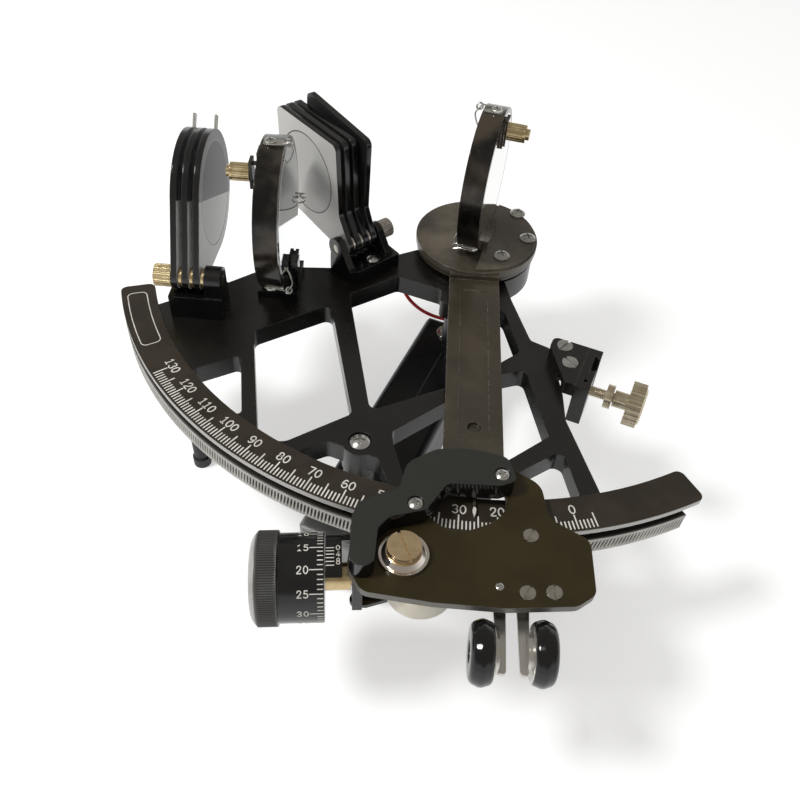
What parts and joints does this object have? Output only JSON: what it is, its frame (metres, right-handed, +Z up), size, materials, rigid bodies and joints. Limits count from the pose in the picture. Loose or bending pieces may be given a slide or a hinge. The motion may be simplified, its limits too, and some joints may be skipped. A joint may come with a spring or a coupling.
{
  "type": "sextant",
  "caption": "Marine sextant with an open frame, graduated arc and rack, swinging index arm with micrometer drum, two round mirrors, tinted shades, telescope clamp and grip.",
  "frame": {"origin": "centre of the footprint's bounding box, on the table that the three feet stand on", "axes": "+Z up; +Y from the graduated limb towards the index arm's pivot; +X towards the telescope clamp's side"},
  "size_m": [0.26, 0.2468, 0.151],
  "materials": {
    "black_enamel": "satin",
    "dial_enamel": "satin with white graduations",
    "rack_metal": "machined",
    "bearing_brass": "turned",
    "foot_black": "satin",
    "handle_black": "smooth",
    "handle_grey": "smooth",
    "post_black": "satin",
    "screw_steel": "polished",
    "bezel_chrome": "polished",
    "cell_jacket": "gloss",
    "wire_red": "gloss",
    "black_gloss": "gloss",
    "knob_brass": "polished, knurled",
    "pin_nickel": "polished, knurled",
    "rim_black": "polished black",
    "mirror_silver": "front silvered",
    "clip_steel": "polished spring steel",
    "button_steel": "polished",
    "clamp_nickel": "satin nickel on brass, knurled",
    "arm_enamel": "satin",
    "disc_enamel": "satin",
    "slot_nickel": "satin",
    "guide_black": "satin top with glossy walls",
    "lamp_chrome": "polished",
    "housing_cream": "gloss",
    "shaft_steel": "turned",
    "carrier_black": "satin",
    "worm_brass": "machined",
    "drum_black": "satin, knurled rim",
    "lever_black": "gloss pads on a steel tongue",
    "shade_black": "gloss",
    "shade_glass": "tinted, polished"
  },
  "bodies": {
    "frame": {"frame_casting": "black_enamel", "limb_arc": "dial_enamel", "limb_rack": "rack_metal", "pivot_bush": "bearing_brass", "feet": "foot_black", "handle_left": "handle_black", "handle_right": "handle_black", "handle_end": "handle_grey", "handle_posts": "post_black", "frame_screws": "screw_steel", "switch_bezel": "bezel_chrome", "battery_pack": "cell_jacket", "wire": "wire_red", "telescope_base": "black_enamel", "telescope_rail": "black_enamel", "telescope_screws": "screw_steel", "horizon_shade_bracket": "black_gloss", "horizon_shade_pin": "knob_brass", "index_shade_bracket": "black_gloss", "index_shade_pin": "pin_nickel", "horizon_mirror_base": "black_gloss", "horizon_mirror_frame": "rim_black", "horizon_mirror_glass": "mirror_silver", "horizon_mirror_clips": "clip_steel", "horizon_adjuster": "knob_brass"},
    "arm": {"index_arm": "arm_enamel", "index_mirror_base": "disc_enamel", "arm_screws": "screw_steel", "plate_screws": "slot_nickel", "index_mirror_frame": "rim_black", "index_mirror_glass": "mirror_silver", "index_mirror_clips": "clip_steel", "index_adjuster": "knob_brass", "index_plate": "arm_enamel", "light_guide": "guide_black", "lamp_cap": "lamp_chrome", "lamp_housing": "housing_cream", "pivot_shaft": "shaft_steel"},
    "carrier": {"worm_carrier": "carrier_black"},
    "drum": {"worm_shaft": "worm_brass", "micrometer_drum": "drum_black"},
    "left_lever": {"lever_left": "lever_black"},
    "right_lever": {"lever_right": "lever_black"},
    "clamp_slide": {"clamp_collar": "clamp_nickel"},
    "clamp_knob": {"clamp_screw": "clamp_nickel"},
    "button": {"lamp_button": "button_steel"},
    "horizon_leaf_1": {"horizon_shade_1": "shade_black", "horizon_glass_1": "shade_glass"},
    "horizon_leaf_2": {"horizon_shade_2": "shade_black", "horizon_glass_2": "shade_glass"},
    "horizon_leaf_3": {"horizon_shade_3": "shade_black", "horizon_glass_3": "shade_glass"},
    "index_leaf_1": {"index_shade_1": "shade_black", "index_glass_1": "shade_glass"},
    "index_leaf_2": {"index_shade_2": "shade_black", "index_glass_2": "shade_glass"},
    "index_leaf_3": {"index_shade_3": "shade_black", "index_glass_3": "shade_glass"},
    "index_leaf_4": {"index_shade_4": "shade_black", "index_glass_4": "shade_glass"}
  },
  "joints": [
    {"name": "index_arm_swing", "type": "hinge", "parent": "frame", "child": "arm", "pos_m": [0.00227, 0.09066, 0.078], "axis": [0, 0, 1], "range_deg": [-46.5, 14]},
    {"name": "left_lever_squeeze", "type": "hinge", "parent": "arm", "child": "left_lever", "pos_m": [0.07318, -0.08261, 0.073], "axis": [0, 0, 1], "range_deg": [0, 3.5], "stiffness_Nm_per_rad": 0.5, "springref_deg": -1.15},
    {"name": "right_lever_squeeze", "type": "hinge", "parent": "arm", "child": "right_lever", "pos_m": [0.08072, -0.07994, 0.073], "axis": [0, 0, 1], "range_deg": [-3.5, 0]},
    {"name": "worm_release", "type": "hinge", "parent": "arm", "child": "carrier", "pos_m": [0.09024, -0.0649, 0.068], "axis": [0, 0, 1], "range_deg": [0, 3.15]},
    {"name": "drum_spin", "type": "hinge", "parent": "carrier", "child": "drum", "pos_m": [0.06129, -0.076, 0.067], "axis": [-0.8949, -0.4462, 0], "continuous": true},
    {"name": "horizon_shade_1_swing", "type": "hinge", "parent": "frame", "child": "horizon_leaf_1", "pos_m": [-0.08903, -0.00604, 0.0953], "axis": [0.9455, 0.3256, 0], "range_deg": [0, 105]},
    {"name": "horizon_shade_2_swing", "type": "hinge", "parent": "frame", "child": "horizon_leaf_2", "pos_m": [-0.08903, -0.00604, 0.0953], "axis": [0.9455, 0.3256, 0], "range_deg": [0, 105]},
    {"name": "horizon_shade_3_swing", "type": "hinge", "parent": "frame", "child": "horizon_leaf_3", "pos_m": [-0.08903, -0.00604, 0.0953], "axis": [0.9455, 0.3256, 0], "range_deg": [0, 105]},
    {"name": "index_shade_1_swing", "type": "hinge", "parent": "frame", "child": "index_leaf_1", "pos_m": [-0.04553, 0.05296, 0.0905], "axis": [0.4695, 0.8829, 0], "range_deg": [0, 95]},
    {"name": "index_shade_2_swing", "type": "hinge", "parent": "frame", "child": "index_leaf_2", "pos_m": [-0.04553, 0.05296, 0.0905], "axis": [0.4695, 0.8829, 0], "range_deg": [0, 95]},
    {"name": "index_shade_3_swing", "type": "hinge", "parent": "frame", "child": "index_leaf_3", "pos_m": [-0.04553, 0.05296, 0.0905], "axis": [0.4695, 0.8829, 0], "range_deg": [0, 95]},
    {"name": "index_shade_4_swing", "type": "hinge", "parent": "frame", "child": "index_leaf_4", "pos_m": [-0.04553, 0.05296, 0.0905], "axis": [0.4695, 0.8829, 0], "range_deg": [-5.8, 89.2]},
    {"name": "clamp_travel", "type": "slide", "parent": "frame", "child": "clamp_slide", "axis": [1, 0, 0], "range_m": [-0.006, 0.0035]},
    {"name": "clamp_turn", "type": "hinge", "parent": "clamp_slide", "child": "clamp_knob", "pos_m": [0.07797, 0.01866, 0.0792], "axis": [1, 0, 0], "range_deg": [-2160, 1260]},
    {"name": "button_press", "type": "slide", "parent": "frame", "child": "button", "axis": [0, 0, -1], "range_m": [0, 0.0018], "stiffness_N_per_m": 250, "springref_m": -0.001}
  ],
  "couplings": [
    {"joint": "right_lever_squeeze", "follows": "left_lever_squeeze", "ratio": -1},
    {"joint": "worm_release", "follows": "left_lever_squeeze", "ratio": 0.9},
    {"joint": "clamp_turn", "follows": "clamp_travel", "rad_per_m": 6283.2}
  ]
}
